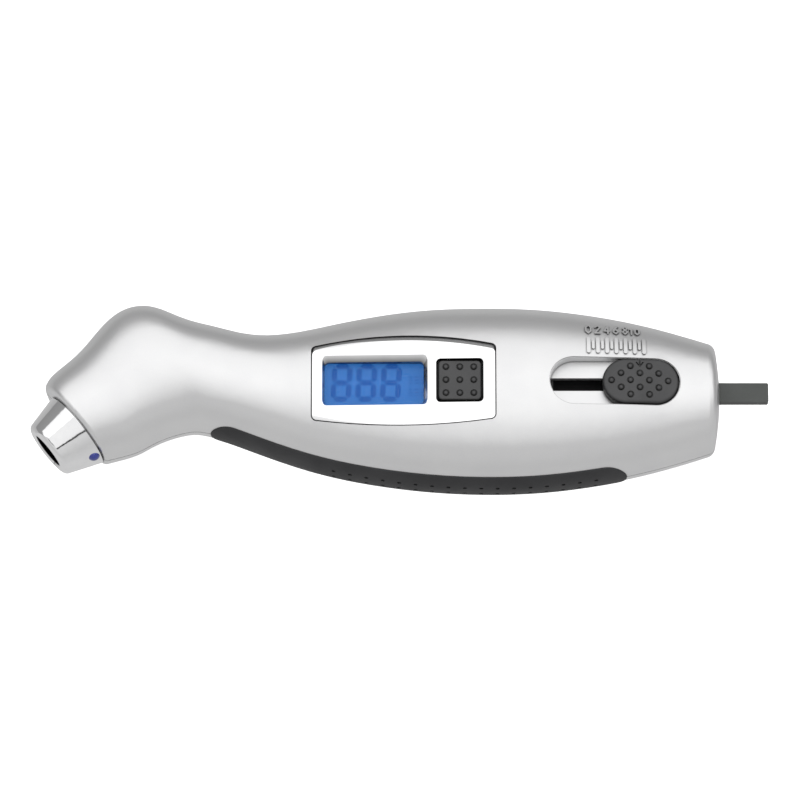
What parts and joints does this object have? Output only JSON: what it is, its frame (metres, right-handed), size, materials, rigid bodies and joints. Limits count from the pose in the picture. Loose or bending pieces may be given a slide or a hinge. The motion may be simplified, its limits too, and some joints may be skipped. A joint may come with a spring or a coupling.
{
  "type": "digital tire pressure gauge",
  "caption": "Handheld digital tire pressure gauge with an angled valve nozzle, blue display, push button, slide-out tread depth probe and a rubber belly grip.",
  "frame": {"origin": "centre of the bounding box in plan, at the height of the flat on the back that the gauge lies on", "axes": "+X from the valve nozzle to the tread probe, +Y to the edge away from the rubber grip, +Z out of the display side"},
  "size_m": [0.1602, 0.042, 0.026],
  "materials": {
    "silver_shell": "satin silver paint",
    "chrome_trim": "bright plated",
    "black_rubber": "matt",
    "charcoal_plastic": "fine matt",
    "probe_grey": "matt",
    "clear_window": "clear",
    "lcd_blue": "blue backlit panel",
    "white_plastic": "matt",
    "black_plastic": "matt",
    "board_green": "solder mask",
    "chip_black": "moulded",
    "steel": "plain",
    "brass": "plain",
    "hose_clear": "silicone",
    "led_blue": "clear blue",
    "seal_rubber": "matt"
  },
  "bodies": {
    "housing": {"front_shell": "silver_shell", "rear_shell": "silver_shell", "belly_grip": "black_rubber", "bezel": "chrome_trim", "display_lens": "clear_window", "lcd_panel": "lcd_blue", "backlight_panel": "white_plastic", "lcd_holder": "white_plastic", "zebra_strip": "seal_rubber", "tact_switch": "steel", "circuit_board": "board_green", "controller_chip": "chip_black", "pressure_sensor": "white_plastic", "sensor_hose": "hose_clear", "hose_clamps": "steel", "coin_cell": "steel", "positive_contact": "steel", "negative_contact": "steel", "nozzle": "chrome_trim", "chuck_seal": "seal_rubber", "chuck_core": "brass", "depressor_pin": "brass", "nozzle_led": "led_blue", "led_wires": "black_rubber", "probe_guide": "black_plastic", "shell_screws": "steel", "board_screws": "steel"},
    "button": {"button_cap": "charcoal_plastic", "switch_plunger": "black_plastic"},
    "slider": {"slider_pad": "charcoal_plastic", "slider_carriage": "black_plastic", "tread_probe": "probe_grey", "detent_spring": "steel"},
    "door": {"battery_door": "silver_shell"}
  },
  "joints": [
    {"name": "probe_slide", "type": "slide", "parent": "housing", "child": "slider", "axis": [1, 0, 0], "range_m": [-0.0112, 0]},
    {"name": "button_press", "type": "slide", "parent": "housing", "child": "button", "axis": [0, 0, -1], "range_m": [0, 0.0006], "stiffness_N_per_m": 2000, "springref_m": -0.0001},
    {"name": "door_twist", "type": "hinge", "parent": "housing", "child": "door", "pos_m": [0.012, 0, 0.0015], "axis": [0, 0, 1], "range_deg": [0, 45]}
  ]
}
